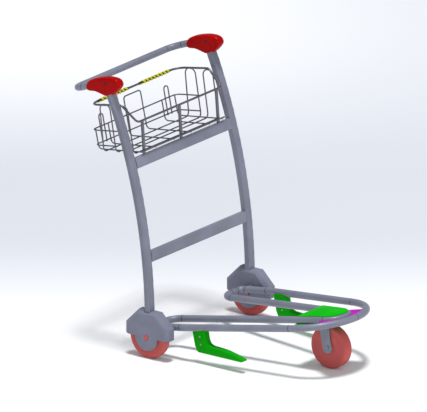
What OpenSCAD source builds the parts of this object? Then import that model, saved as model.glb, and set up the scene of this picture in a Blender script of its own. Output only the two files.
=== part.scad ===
// Airport luggage trolley: three wheels, a base of bent tube, two curved uprights,
// a wire basket, and a sprung handle that lifts a brake shoe off each rear wheel.
// +X points forward, +Y to the left-hand side, +Z up, and the floor is Z = 0.
// Sub-parts are drawn with X = 0 at the rear axle, then moved to the centre of the length.

/* [Wheels] */
// Outer diameter of all three wheels
wheel_d = 160; // [140:1:180]
// Width of a rear wheel over its tyre
rear_wheel_w = 34; // [28:1:36]
// Width of the front wheel over its tyre
front_wheel_w = 41; // [34:1:46]
// Chamfer at both shoulders of a tyre
tyre_chamfer = 5; // [2:0.5:7]
// Thickness of the tyre ring, measured along the radius
tyre_t = 20; // [12:1:28]
// Diameter of the wheel axles
axle_d = 12; // [10:0.5:14]
// Outer diameter of a wheel bearing
bearing_d = 26; // [24:1:32]
// Width of one wheel bearing
bearing_w = 10; // [7:1:12]
// Distance from the rear axle to the front wheel axle
wheelbase = 592; // [500:1:660]
// Distance of the front axle ahead of its swivel axis
caster_trail = 27; // [20:1:35]

/* [Uprights] */
// Distance between the mid-planes of the two uprights
track = 601; // [500:1:720]
// Width of an upright across the trolley
upright_w = 34; // [28:1:38]
// Depth of an upright from front to back
upright_t = 24; // [20:1:30]
// Wall of the upright profile
upright_wall = 2.5; // [2:0.1:3.5]
// Radius of the upright's curve at its front face
upright_r = 2100; // [1800:10:2600]
// Height at which the curved upright stands truly vertical
upright_root_z = 131.5; // [110:0.5:150]
// Front face of the upright at that height, ahead of the rear axle
upright_root_x = 8.9; // [0:0.1:16]
// Height of the handle pivot above the floor
pivot_z = 1007.5; // [880:0.5:1100]

/* [Crossbars] */
// How far the middle of the upper crossbar lies under the rear of the basket's rim
upper_bar_drop = 171.5; // [165:0.5:180]
// Height of the middle of the lower crossbar
lower_bar_z = 376; // [300:1:460]
// Height of a crossbar's section
crossbar_h = 40; // [30:1:50]
// Depth of a crossbar's section
crossbar_t = 20; // [14:1:22]
// Wall of a crossbar
crossbar_wall = 2; // [1.5:0.1:3]

/* [Base tubes] */
// Diameter of the bent base tube
base_tube_d = 26; // [22:0.5:30]
// Wall of the base tube
base_tube_wall = 2; // [1.5:0.1:3]
// Height of the base tube's centre line over the middle of the rear wheels
base_lift = 26; // [20:0.5:34]
// How far the plate over the swivel lies under the tubes' centre lines, which sets the rise
plate_drop = 10.74; // [8:0.01:11.5]
// Distance from an upright's mid-plane in to the outer tube
outer_inset = 41.5; // [39:0.5:60]
// Where the outer tubes start to taper
outer_taper_x = 117; // [90:1:160]
// How far the outer tube's centre line reaches ahead of the front axle
outer_reach = 109.8; // [90:0.1:130]
// Radius of the outer nose bend
outer_nose_r = 190; // [160:1:200]
// Distance between the middles of an outer and an inner tube at the back
rail_gap = 113; // [90:1:130]
// Where the inner tubes start
inner_start_x = 31; // [28:1:50]
// How far the inner tube's centre line reaches ahead of the front axle
inner_reach = 60.4; // [50:0.1:75]
// Radius of the inner nose bend
inner_nose_r = 58; // [50:1:64]
// How far the hairpins' cross tubes stand behind the rear axle
hairpin_back = 15; // [12:0.5:24]
// Thickness of the deck, nose and under plates
plate_t = 3; // [2:0.5:4]
// Distance from the front axle back to the rear edge of the deck plate
deck_back = 95; // [72:1:150]

/* [Rear housings] */
// How much thicker a rear wheel housing is than its tyre
housing_extra = 16; // [14:1:22]
// Thickness of the full-size middle strip of a housing
housing_strip_w = 30; // [26:1:34]
// Gap between the tyre and the housing outline, at the ends
housing_margin = 17; // [15:1:24]
// Radius of the round lobe that carries the axle
lobe_r = 50; // [40:1:60]
// Plastic wall of a housing
housing_wall = 3; // [2:0.5:3.5]
// Gap between the brake shoe and the tyre at rest
shoe_gap = 0.4; // [0.3:0.1:1]

/* [Handle] */
// Diameter of the handle tube
handle_d = 25; // [22:0.5:28]
// Wall of the handle tube
handle_wall = 2; // [1.5:0.1:3]
// Slope of the handle arms towards the back
handle_slope = 20.5; // [15:0.5:26]
// Distance from the pivot back to the handle bar
handle_reach = 159; // [140:1:200]
// Radius of the handle's two bends
handle_bend_r = 47; // [40:1:60]
// Thickness of a red knuckle's side beside the upright
knuckle_side = 3; // [2.5:0.5:6]
// Travel of the handle from rest to fully pressed
press_angle = 7; // [4:0.5:8]

/* [Basket] */
// Wire of the basket's rim
rim_d = 8; // [6:0.5:10]
// Wire of the basket's rings, hoops and floor
wire_d = 5; // [4:0.5:6]
// Distance from an upright's mid-plane in to the middle of the rim's wire
basket_inset = 38.5; // [36:0.5:60]
// Distance from the rim in to the outer posts on the crossbar
post_inset = 40; // [30:1:60]
// Diameter of the basket's three posts
post_d = 12; // [10:0.5:14]
// How far the rear of the rim lies under the handle's pivot
basket_drop = 118.5; // [100:0.5:140]
// Distance from the crossbar's front face back to the rear of the rim
basket_depth = 229; // [190:1:260]
// Diameter of a coiled sleeve on the rear rim
sleeve_d = 15; // [12:0.5:18]
// Length of a coiled sleeve
sleeve_len = 186; // [120:1:186]

/* [Ramp feet] */
// Thickness of a green foot
foot_w = 25; // [18:1:26]
// Height of a foot's sole above the floor
foot_z = 43; // [35:1:55]
// Length of a foot
foot_len = 227; // [180:1:260]

/* [Hidden] */

$fn = 64;
arc_fn = 1440;       // divisions of a full turn on the long upright curve
eps = 0.02;
seam_step = 0.01;    // how much slimmer a bend is than the straight that meets it
seam_lap = 0.3;      // how far a straight runs into its bend
slip = 0.2;          // loose clearance between pieces of one body
running_fit = 0.05;  // radial clearance of a turning pair

metal = [0.49, 0.50, 0.56];
red = [0.75, 0.02, 0.02];
green = [0.0, 0.68, 0.05];
magenta = [0.75, 0.0, 0.75];
wheel_red = [0.66, 0.33, 0.33];
yellow = [0.75, 0.75, 0.05];
dark = [0.2, 0.2, 0.22];

wheel_r = wheel_d / 2;
base_z = wheel_r + base_lift;
housing_w = rear_wheel_w + housing_extra;
knuckle_w = upright_w + 2 * knuckle_side;
basket_rear_z = pivot_z - basket_drop;
upper_bar_z = basket_rear_z - upper_bar_drop;
half_track = track / 2;
outer_half = half_track - outer_inset;
inner_half = outer_half - rail_gap;
basket_half = half_track - basket_inset;
wheel_offset = 1.5;  // how far a rear wheel's mid-plane stands outside its upright's
front_x = wheelbase;
swivel_x = wheelbase - caster_trail;

// The upright's curve: centre of the arc and the angle at a given height
arc_cx = upright_root_x - upright_r;
arc_cz = upright_root_z;
function arc_angle(z, r = upright_r) = asin((z - arc_cz) / r);
function on_arc(angle, r = upright_r, y = 0) = [arc_cx + r * cos(angle), y, arc_cz + r * sin(angle)];

fork_top_z = wheel_d + 7;
pivot_depth = 8;
pivot_a = arc_angle(pivot_z, upright_r - pivot_depth);
pivot = on_arc(pivot_a, upright_r - pivot_depth);
pivot_r = 4;
pin_half = knuckle_w / 2 - 0.4;
top_over = 9;        // how far an upright's top stands past the pivot
top_a = pivot_a + top_over / upright_r * 180 / PI;
bottom_a = arc_angle(fork_top_z + 0.3, upright_r - upright_t / 2);

// Handle
bar = [pivot.x - handle_reach, 0, pivot.z - 57.5];
arm_start = [bar.x + 128 * cos(handle_slope), 0, bar.z + 128 * sin(handle_slope)];

// Height of the parts over the front wheel
crown_z = wheel_d + 3.5;
crown_t = 4.5;
race_t = 5;
race_gap = 2;
race_z = crown_z + crown_t;
top_plate_z = race_z + 2 * race_t + race_gap;
top_plate_t = 5;

// Base plane: the tubes' centre lines pass over the swivel plate
rise_k = (top_plate_z + plate_drop - base_z) / swivel_x;
base_rise = atan(rise_k);
deck_rear_x = front_x - deck_back;
function base_at(x, y, h = 0) =
    [x - h * sin(base_rise), y, base_z + x * rise_k + h * cos(base_rise)];
function along(x) = x / cos(base_rise);
// Slope of a line from a point, dx behind a bend's centre and half beside it, that touches the bend
function touching(dx, half, r) = atan(half / dx) - asin(r / norm([dx, half]));
outer_bend_x = along(front_x + outer_reach) - outer_nose_r;
inner_bend_x = along(front_x + inner_reach) - inner_nose_r;
outer_taper = touching(outer_bend_x - along(outer_taper_x), outer_half, outer_nose_r);
inner_taper = touching(inner_bend_x - along(inner_start_x), inner_half, inner_nose_r);
outer_corner_x = outer_taper_x + outer_half / tan(outer_taper) * cos(base_rise);
inner_corner_x = inner_start_x + inner_half / tan(inner_taper) * cos(base_rise);
outer_start_x = 10;
function inner_y(x) = inner_half * (inner_corner_x - x) / (inner_corner_x - inner_start_x);
function outer_y(x) = x < outer_taper_x ? outer_half
    : outer_half * (outer_corner_x - x) / (outer_corner_x - outer_taper_x);

// The whole trolley runs from the handle bar to the front of the outer nose
nose_tip = front_x + outer_reach + base_tube_d / 2;
back_tip = bar.x - handle_d / 2;
centre_x = (nose_tip + back_tip) / 2;

// Housing outline, from the tyre outward
housing_half = wheel_r + housing_margin;
housing_top = wheel_d + housing_margin - 1;
housing_cut = 53;
face_inset = 15;
face_drop = 9;
slot_gap = 0.52;     // room behind an upright at the top of its housing
slot_back_x = on_arc(arc_angle(housing_top, upright_r - upright_t), upright_r - upright_t).x - slot_gap;
slot_front_x = upright_root_x + 0.6;
cavity_r = wheel_r + 6;
fork_out = rear_wheel_w / 2 + 4.5;
fork_in = fork_out - 3;

// Brake shoe
shoe_r1 = wheel_r + shoe_gap;
shoe_r2 = wheel_r + 8;
shoe_pin_r = 2;
shoe_w = 26;
shoe_a = 125;
shoe_end_a = 163;
shoe_pin = [(wheel_r + 10) * cos(shoe_a), 0, wheel_r + (wheel_r + 10) * sin(shoe_a)];

// Caster
leg_t = 4;
leg_in = front_wheel_w / 2 + 2;
leg_r = 21;
race_r = 28;
ball_r = 3;
ball_ring_r = 20;

// Basket, set out from the upper crossbar
upper_bar_a = arc_angle(upper_bar_z);
lower_bar_a = arc_angle(lower_bar_z);
bar_front = on_arc(upper_bar_a);
basket_back_x = bar_front.x - basket_depth;
basket_slope = 0.15;
floor_back_x = basket_back_x + 21;
floor_front_x = bar_front.x - 5;
floor_z0 = basket_rear_z - 175;
function floor_z(x) = floor_z0 + (x - floor_back_x) * 0.137;
post_base_z = upper_bar_z + crossbar_h / 2 * cos(upper_bar_a);
rail_z = basket_rear_z - 29;
rail_x = bar_front.x - 22;
weld = 0.4;          // how far crossing wires sink into each other at a weld

// ---------------------------------------------------------------- helpers

function unit(v) = v / norm(v);
function turn_of(p, q, r) = acos(max(-1, min(1, unit(q - p) * unit(r - q))));
function trim_of(p, q, r, radius) = radius * tan(turn_of(p, q, r) / 2);
function pick(list, i) = is_list(list) ? list[i] : list;

module placed() translate([-centre_x, 0, 0]) children();
module on_side(side) if (side > 0) children(); else mirror([0, 1, 0]) children();
module both_sides() for (side = [1, -1]) on_side(side) children();

// Extrudes a shape drawn in X and Z, from y to y + h
module in_xz(y, h) translate([0, y + h, 0]) rotate([90, 0, 0]) linear_extrude(h) children();

module ring_2d(d, bore) difference() {
    circle(d = d);
    if (bore > 0) circle(d = bore);
}

module rounded_rect(w, h, r) {
    square([w - 2 * r, h], center = true);
    square([w, h - 2 * r], center = true);
    for (x = [-1, 1], y = [-1, 1]) translate([x * (w / 2 - r), y * (h / 2 - r)]) circle(r = r);
}

module rod(a, b, d, bore = 0) {
    w = unit(b - a);
    u = unit(cross(abs(w.z) < 0.9 ? [0, 0, 1] : [1, 0, 0], w));
    v = cross(w, u);
    multmatrix([[u.x, v.x, w.x, a.x], [u.y, v.y, w.y, a.y], [u.z, v.z, w.z, a.z], [0, 0, 0, 1]])
        linear_extrude(norm(b - a)) ring_2d(d, bore);
}

// Quarter-torus style bend at corner q, on the way from p to r
module bend(p, q, r, radius, d, bore = 0) {
    u = unit(q - p);
    n = unit(cross(u, unit(r - q)));
    w = cross(n, u);
    c = q - u * trim_of(p, q, r, radius) + w * radius;
    multmatrix([[-w.x, u.x, n.x, c.x], [-w.y, u.y, n.y, c.y], [-w.z, u.z, n.z, c.z], [0, 0, 0, 1]])
        rotate_extrude(angle = turn_of(p, q, r)) translate([radius, 0])
            ring_2d(d - 2 * seam_step, bore > 0 ? bore + 2 * seam_step : 0);
}

// A rod or tube through points, with rounded corners; radius is one value or one per point
module bent_rod(pts, radius, d, bore = 0, closed = false) {
    n = len(pts);
    for (i = [0 : n - (closed ? 1 : 2)]) {
        a = pts[i];
        b = pts[(i + 1) % n];
        c = pts[(i + 2) % n];
        cut_a = closed || i > 0 ? trim_of(pts[(i + n - 1) % n], a, b, pick(radius, i)) : 0;
        cut_b = closed || i < n - 2 ? trim_of(a, b, c, pick(radius, (i + 1) % n)) : 0;
        u = unit(b - a);
        rod(a + u * (cut_a > 0 ? cut_a - seam_lap : 0), b - u * (cut_b > 0 ? cut_b - seam_lap : 0), d, bore);
        if (closed || i < n - 2) bend(a, b, c, pick(radius, (i + 1) % n), d, bore);
    }
}

// Sweeps a section along the upright's curve; section x is radial, y is across
module arc_sweep(r, a0, a1) translate([arc_cx, 0, arc_cz]) rotate([90, -a0, 0])
    rotate_extrude(angle = a1 - a0, $fn = arc_fn) translate([r, 0]) children();

// Closed smooth curve through points (Catmull-Rom)
function curve_point(a, b, c, d, t) =
    0.5 * (2 * b + (c - a) * t + (2 * a - 5 * b + 4 * c - d) * t * t + (3 * b - a - 3 * c + d) * t * t * t);
function smooth_loop(pts, steps) = let (n = len(pts))
    [for (i = [0 : n - 1], s = [0 : steps - 1])
        curve_point(pts[(i + n - 1) % n], pts[i], pts[(i + 1) % n], pts[(i + 2) % n], s / steps)];
// Moves every point of an anticlockwise loop outward by d
function grown(pts, d) = let (n = len(pts))
    [for (i = [0 : n - 1]) let (t = unit(pts[(i + 1) % n] - pts[(i + n - 1) % n])) pts[i] + d * [t.y, -t.x]];

module wedge_2d(r, a0, a1) polygon([[0, 0], for (i = [0 : 4]) r * [cos(a0 + (a1 - a0) * i / 4),
                                                                 sin(a0 + (a1 - a0) * i / 4)]]);

// ---------------------------------------------------------------- uprights and crossbars

inner_r = 1.5;       // rounding of the upright's hollow
module upright() arc_sweep(upright_r - upright_t / 2, bottom_a, top_a) difference() {
    rounded_rect(upright_t, upright_w, 4);
    rounded_rect(upright_t - 2 * upright_wall, upright_w - 2 * upright_wall, inner_r);
    // shallow channel along the outer side
    translate([-1, -upright_w / 2]) square([6, 2], center = true);
}

module upright_left() color(metal) placed() translate([0, half_track, 0]) difference() {
    upright();
    pivot_bore();
}
module upright_right() color(metal) placed() mirror([0, 1, 0]) translate([0, half_track, 0]) difference() {
    upright();
    pivot_bore();
}
module pivot_bore() translate([pivot.x, 0, pivot.z]) rotate([90, 0, 0])
    cylinder(r = pivot_r, h = upright_w + 4, center = true);

// Solid insert that carries the pivot pin in the hollow top end
module upright_plugs() color(dark) placed() both_sides() translate([0, half_track, 0]) difference() {
    arc_sweep(upright_r - upright_t / 2, top_a - 1.2, top_a)
        rounded_rect(upright_t - 2 * upright_wall - 2 * slip, upright_w - 2 * upright_wall - 2 * slip, inner_r);
    pivot_bore();
}

module pivot_pins() color(dark) placed() both_sides() translate([pivot.x, half_track, pivot.z])
    rotate([90, 0, 0]) difference() {
        cylinder(r = pivot_r, h = 2 * pin_half, center = true);
        for (end = [-1, 1]) translate([0, 0, end * pin_half]) cylinder(r = 2.2, h = 5, center = true, $fn = 6);
    }

module brake_cables() color(dark) placed() both_sides() translate([0, half_track, 0])
    arc_sweep(upright_r - upright_t / 2 - 5, bottom_a + 0.02, top_a - 1.3) circle(d = 4);

module crossbar(a) translate(on_arc(a, upright_r - crossbar_t / 2)) rotate([0, -a, 0]) rotate([90, 0, 0])
    linear_extrude(track - upright_w, center = true) difference() {
        rounded_rect(crossbar_t, crossbar_h, 2);
        square([crossbar_t - 2 * crossbar_wall, crossbar_h - 2 * crossbar_wall], center = true);
    }
module crossbar_upper() color(metal) placed() crossbar(upper_bar_a);
module crossbar_lower() color(metal) placed() crossbar(lower_bar_a);

// ---------------------------------------------------------------- base

outer_path = [base_at(outer_start_x, outer_half), base_at(outer_taper_x, outer_half),
              base_at(outer_corner_x, 0), base_at(outer_taper_x, -outer_half),
              base_at(outer_start_x, -outer_half)];
inner_path = [base_at(inner_start_x, inner_half), base_at(inner_corner_x, 0),
              base_at(inner_start_x, -inner_half)];
hairpin_x = -hairpin_back;
hairpin_path = [base_at(inner_start_x, inner_half), base_at(hairpin_x, inner_y(hairpin_x)),
                base_at(hairpin_x, outer_half), base_at(outer_start_x, outer_half)];
// Each elbow fills its straight but for half a millimetre
elbow_rest = 0.5;
function elbow_r(p, q, r) = (norm(q - p) - elbow_rest) / tan(turn_of(p, q, r) / 2);
hairpin_radii = [0, elbow_r(hairpin_path[0], hairpin_path[1], hairpin_path[2]),
                 elbow_r(hairpin_path[3], hairpin_path[2], hairpin_path[1]), 0];

module outer_tube(bore) bent_rod(outer_path, [0, 150, outer_nose_r, 150, 0], base_tube_d, bore, $fn = 96);
module inner_tube(bore) bent_rod(inner_path, inner_nose_r, base_tube_d, bore, $fn = 96);

module base_outer_tube() color(metal) placed() outer_tube(base_tube_d - 2 * base_tube_wall);
module base_inner_tube() color(metal) placed() inner_tube(base_tube_d - 2 * base_tube_wall);
module hairpin() bent_rod(hairpin_path, hairpin_radii, base_tube_d, base_tube_d - 2 * base_tube_wall, $fn = 96);
module base_hairpin_left() color(metal) placed() hairpin();
module base_hairpin_right() color(metal) placed() mirror([0, 1, 0]) hairpin();

// Flat shapes lying in the inclined plane of the base, at height h above the tube centres
module on_base(h) translate([0, 0, base_z]) rotate([0, -base_rise, 0]) translate([0, 0, h]) children();
module inner_field(x0, grow) {
    x1 = inner_bend_x + inner_nose_r * sin(inner_taper);
    y0 = (along(inner_corner_x) - x0) * tan(inner_taper) + grow;
    y1 = (along(inner_corner_x) - x1) * tan(inner_taper) + grow;
    polygon([[x0, -y0], [x1, -y1], [x1, y1], [x0, y0]]);
    translate([inner_bend_x, 0]) circle(r = inner_nose_r + grow);
}

module deck_plate() color(green) placed() on_base(base_tube_d / 2)
    linear_extrude(plate_t) inner_field(along(deck_rear_x), 2);

// Plan of the plate over the swivel, between the middles of the inner tubes
top_plate_half = 40;
module top_plate_plan(grow) intersection() {
    translate([swivel_x - top_plate_half - grow, -inner_half])
        square([2 * (top_plate_half + grow), 2 * inner_half]);
    polygon([[inner_start_x, -inner_half - grow], [inner_corner_x, -grow], [inner_corner_x, grow],
             [inner_start_x, inner_half + grow]]);
}
// Where the rising under plate comes level with the plate over the swivel
meet_x = (top_plate_z - slip - base_z + base_tube_d / 2 / cos(base_rise)) / rise_k;
module under_plate() color(green) placed() difference() {
    on_base(-base_tube_d / 2 - plate_t) linear_extrude(plate_t) inner_field(along(deck_rear_x) - 6, 16);
    translate([swivel_x, 0, crown_z]) cylinder(r = race_r + 8, h = 60);
    translate([0, 0, crown_z]) linear_extrude(60) intersection() {
        top_plate_plan(1);
        translate([meet_x, -inner_half]) square([200, 2 * inner_half]);
    }
}

module nose_plate() color(magenta) placed() difference() {
    on_base(-plate_t / 2) linear_extrude(plate_t) difference() {
        intersection() {
            translate([outer_bend_x, 0]) circle(r = outer_nose_r);
            polygon([[inner_bend_x, 80], [inner_bend_x + 30, 94], [inner_bend_x + 140, 143],
                     [inner_bend_x + 140, -143], [inner_bend_x + 30, -94], [inner_bend_x, -80]]);
        }
        inner_field(along(deck_rear_x), 0);
    }
    outer_tube(0);
    inner_tube(0);
}

module base_lugs() color(metal) placed() both_sides() difference() {
    translate([14, outer_half, base_z - 10]) cube([18, half_track - fork_out - outer_half, 24]);
    outer_tube(0);
    hairpin_solid();
}
module hairpin_solid() bent_rod(hairpin_path, hairpin_radii, base_tube_d, $fn = 96);

// ---------------------------------------------------------------- rear wheels and housings

function housing_outline(half, top, cut) =
    [[-half, wheel_r], [half, wheel_r], [half, top - cut], [half - cut, top],
     [-half + cut, top], [-half, top - cut]];

// One half shell; local y = 0 is the wheel's mid-plane and the face points to +y
module housing_half_shell(hub_hole_r) difference() {
    union() {
        hull() {
            in_xz(0, housing_strip_w / 2)
                polygon(housing_outline(housing_half, housing_top, housing_cut));
            in_xz(0, housing_w / 2)
                polygon(housing_outline(housing_half - face_inset, housing_top - face_drop, housing_cut - 7));
        }
        in_xz(fork_out + 0.5, housing_w / 2 - fork_out - 0.5) translate([0, wheel_r]) circle(r = lobe_r);
        // raised step behind the upright
        translate([-42, 0, housing_top - 1]) cube([24, housing_strip_w / 2 - 3, 5]);
    }
    in_xz(-1, housing_strip_w / 2) polygon(housing_outline(housing_half - housing_wall, housing_top - housing_wall,
                                          housing_cut - housing_wall * 0.6));
    translate([-housing_half + housing_wall, -1, wheel_r - 10])
        cube([2 * (housing_half - housing_wall), housing_strip_w / 2, 20]);
    in_xz(-1, fork_out + 1.5) translate([0, wheel_r]) circle(r = cavity_r);
    translate([-27, -1, wheel_r]) cube([54, fork_out + 1.5, fork_top_z + slip - wheel_r]);
    // slot for the upright, whose back face leans furthest back where it leaves the housing
    translate([slot_back_x, -1, wheel_d])
        cube([slot_front_x - slot_back_x, upright_w / 2 + wheel_offset + 1 + slip, 40]);
    translate([0, 0, wheel_r]) rotate([-90, 0, 0]) cylinder(r = hub_hole_r, h = 60);
    translate([shoe_pin.x, -1, shoe_pin.z]) rotate([-90, 0, 0]) cylinder(r = shoe_pin_r, h = 20);
}

module housing_outer_left() color(metal) placed() translate([0, half_track + wheel_offset, 0]) housing_half_shell(10);
module housing_outer_right() color(metal) placed() mirror([0, 1, 0]) translate([0, half_track + wheel_offset, 0])
    housing_half_shell(10);
module inner_shell() translate([0, half_track + wheel_offset, 0]) difference() {
    mirror([0, 1, 0]) housing_half_shell(11.5);
    // window for the lug that joins the base tube to the fork
    translate([13.5, -housing_w / 2 - 1, base_z - 10.5]) cube([19, 30, 25]);
}
module housing_inner_left() color(metal) placed() inner_shell();
module housing_inner_right() color(metal) placed() mirror([0, 1, 0]) inner_shell();

spigot_t = 11;       // depth of the spigot in the upright, which leaves room for the cable
// Steel fork inside the housing: two plates, a bridge, and a spigot up into the upright
module wheel_fork() difference() {
    union() {
        for (y = [fork_in, -fork_out]) in_xz(y, fork_out - fork_in) {
            polygon([[-20, wheel_r], [20, wheel_r], [32, wheel_r + 16], [32, wheel_r + 45],
                     [24, wheel_r + 60], [24, fork_top_z], [-24, fork_top_z], [-24, wheel_r + 30]]);
            translate([0, wheel_r]) circle(r = 20);
        }
        translate([-24, -fork_out, fork_top_z - 3]) cube([48, 2 * fork_out, 3]);
        translate([0, -wheel_offset, 0]) arc_sweep(upright_r - upright_wall - slip - spigot_t / 2,
                                                   bottom_a - 0.05, bottom_a + 1.7)
            rounded_rect(spigot_t, upright_w - 2 * upright_wall - 2 * slip, inner_r);
    }
    translate([0, 0, wheel_r]) rotate([90, 0, 0]) cylinder(d = axle_d + 2 * slip, h = 80, center = true);
}
module wheel_fork_left() color(dark) placed() translate([0, half_track + wheel_offset, 0]) wheel_fork();
module wheel_fork_right() color(dark) placed() mirror([0, 1, 0]) translate([0, half_track + wheel_offset, 0]) wheel_fork();

module y_axle(head_r, head_h, half_len, tail) rotate([-90, 0, 0]) {
    translate([0, 0, -half_len - tail]) cylinder(d = axle_d, h = 2 * half_len + tail + eps);
    translate([0, 0, half_len]) cylinder(r = head_r, h = head_h);
}
module rear_axles() color(wheel_red) placed() both_sides() translate([0, half_track + wheel_offset, wheel_r])
    y_axle(9.5, housing_w / 2 - fork_out + 1.5, fork_out, 6);
module rear_axle_nuts() color(metal) placed() both_sides()
    translate([0, half_track + wheel_offset - fork_out - 5.5, wheel_r]) rotate([-90, 0, 0]) difference() {
        cylinder(r = 10, h = 5.5, $fn = 6);
        translate([0, 0, -1]) cylinder(d = axle_d, h = 8);
    }

module tyre(w) rotate([90, 0, 0]) rotate_extrude($fn = 128)
    polygon([[wheel_r - tyre_t, -w / 2], [wheel_r - tyre_chamfer, -w / 2], [wheel_r, -w / 2 + tyre_chamfer],
             [wheel_r, w / 2 - tyre_chamfer], [wheel_r - tyre_chamfer, w / 2], [wheel_r - tyre_t, w / 2]]);
module core(w) rotate([90, 0, 0]) rotate_extrude($fn = 128)
    polygon([[bearing_d / 2, -w / 2 - 0.5], [bearing_d / 2 + 8, -w / 2 - 0.5], [bearing_d / 2 + 8, -w / 2 + 0.5],
             [wheel_r - tyre_t, -w / 2 + 0.5], [wheel_r - tyre_t, w / 2 - 0.5],
             [bearing_d / 2 + 8, w / 2 - 0.5], [bearing_d / 2 + 8, w / 2 + 0.5], [bearing_d / 2, w / 2 + 0.5]]);
module bearings(w) for (side = [1, -1]) translate([0, side * (w / 2 + 0.5 - bearing_w / 2), 0])
    rotate([90, 0, 0]) rotate_extrude()
        polygon([[axle_d / 2 + running_fit, -bearing_w / 2], [bearing_d / 2 - 4, -bearing_w / 2],
                 [bearing_d / 2 - 4, -bearing_w / 2 + 0.6], [bearing_d / 2, -bearing_w / 2],
                 [bearing_d / 2, bearing_w / 2], [bearing_d / 2 - 4, bearing_w / 2 - 0.6],
                 [bearing_d / 2 - 4, bearing_w / 2], [axle_d / 2 + running_fit, bearing_w / 2]]);

module at_rear_wheel(side) placed() on_side(side) translate([0, half_track + wheel_offset, wheel_r]) children();
module rear_tyre_left() color(wheel_red) at_rear_wheel(1) tyre(rear_wheel_w);
module rear_tyre_right() color(wheel_red) at_rear_wheel(-1) tyre(rear_wheel_w);
module rear_core_left() color(wheel_red) at_rear_wheel(1) core(rear_wheel_w);
module rear_core_right() color(wheel_red) at_rear_wheel(-1) core(rear_wheel_w);
module rear_bearings_left() color(metal) at_rear_wheel(1) bearings(rear_wheel_w);
module rear_bearings_right() color(metal) at_rear_wheel(-1) bearings(rear_wheel_w);

module brake_shoe() difference() {
    union() {
        in_xz(-shoe_w / 2, shoe_w) translate([0, wheel_r]) intersection() {
            ring_2d(2 * shoe_r2, 2 * shoe_r1);
            wedge_2d(wheel_r * 1.5, shoe_a - 4, shoe_end_a);
        }
        in_xz(-shoe_w / 2, shoe_w) translate([shoe_pin.x, shoe_pin.z]) circle(r = 5);
    }
    translate([shoe_pin.x, 0, shoe_pin.z]) rotate([90, 0, 0])
        cylinder(r = shoe_pin_r + running_fit, h = 2 * shoe_w, center = true);
}
module brake_shoe_left() color(dark) placed() translate([0, half_track + wheel_offset, 0]) brake_shoe();
module brake_shoe_right() color(dark) placed() mirror([0, 1, 0]) translate([0, half_track + wheel_offset, 0]) brake_shoe();
module brake_pins() color(dark) placed() both_sides() translate([shoe_pin.x, half_track + wheel_offset, shoe_pin.z])
    rotate([90, 0, 0]) cylinder(r = shoe_pin_r, h = 37, center = true);

// ---------------------------------------------------------------- front caster

module caster_fork() color(metal) placed() difference() {
    union() {
        translate([swivel_x, 0, crown_z]) cylinder(r = race_r + 4, h = crown_t);
        translate([swivel_x - 16, -leg_in - leg_t, crown_z]) cube([50, 2 * (leg_in + leg_t), crown_t]);
        for (y = [leg_in, -leg_in - leg_t]) in_xz(y, leg_t) {
            translate([front_x, wheel_r]) circle(r = leg_r);
            polygon([[front_x - leg_r, wheel_r], [front_x + leg_r, wheel_r], [front_x + 12, wheel_r + 38],
                     [swivel_x + 34, crown_z + crown_t], [swivel_x - 16, crown_z + crown_t],
                     [front_x - leg_r - 7, wheel_r + 38]]);
        }
    }
    translate([front_x, 0, wheel_r]) rotate([90, 0, 0]) cylinder(d = axle_d, h = 80, center = true);
    translate([swivel_x, 0, crown_z - 1]) cylinder(r = 6, h = 10);
}

module race(z, groove_z) difference() {
    translate([swivel_x, 0, z]) cylinder(r = race_r, h = race_t);
    translate([swivel_x, 0, z - 1]) cylinder(r = 6 + slip, h = race_t + 2);
    translate([swivel_x, 0, groove_z]) rotate_extrude() translate([ball_ring_r, 0]) circle(r = ball_r + slip);
}
ball_z = race_z + race_t + race_gap / 2;
module swivel_lower_race() color(dark) placed() difference() {
    race(race_z, ball_z);
}
module swivel_upper_race() color(dark) placed() {
    race(top_plate_z - race_t, ball_z);
    for (i = [0 : 13]) translate([swivel_x, 0, ball_z]) rotate([0, 0, i * 360 / 14])
        translate([ball_ring_r, 0, 0]) sphere(r = ball_r, $fn = 32);
}
module caster_top_plate() color(metal) placed() difference() {
    translate([0, 0, top_plate_z]) linear_extrude(top_plate_t) top_plate_plan(0);
    inner_tube(0);
    translate([swivel_x, 0, top_plate_z - 1]) cylinder(r = 6 + running_fit, h = 10);
}
module kingpin() color(metal) placed() translate([swivel_x, 0, 0]) {
    translate([0, 0, crown_z - 3]) cylinder(r = 9, h = 3);
    translate([0, 0, crown_z - eps]) cylinder(r = 6, h = top_plate_z + top_plate_t + 8 - crown_z);
}
module caster_nuts() color(metal) placed() {
    translate([swivel_x, 0, top_plate_z + top_plate_t + 0.4]) difference() {
        cylinder(r = 9.5, h = 6, $fn = 6);
        translate([0, 0, -1]) cylinder(r = 6, h = 8);
    }
    translate([front_x, leg_in + leg_t, wheel_r]) rotate([-90, 0, 0]) difference() {
        cylinder(r = 10, h = 6, $fn = 6);
        translate([0, 0, -1]) cylinder(d = axle_d, h = 8);
    }
}
module front_axle() color(metal) placed() translate([front_x, 0, wheel_r]) mirror([0, 1, 0])
    y_axle(9, 2, leg_in + leg_t, 6);
module front_tyre() color(wheel_red) placed() translate([front_x, 0, wheel_r]) tyre(front_wheel_w);
module front_core() color(wheel_red) placed() translate([front_x, 0, wheel_r]) core(front_wheel_w);
module front_bearings() color(metal) placed() translate([front_x, 0, wheel_r]) bearings(front_wheel_w);

// ---------------------------------------------------------------- ramp feet

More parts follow.
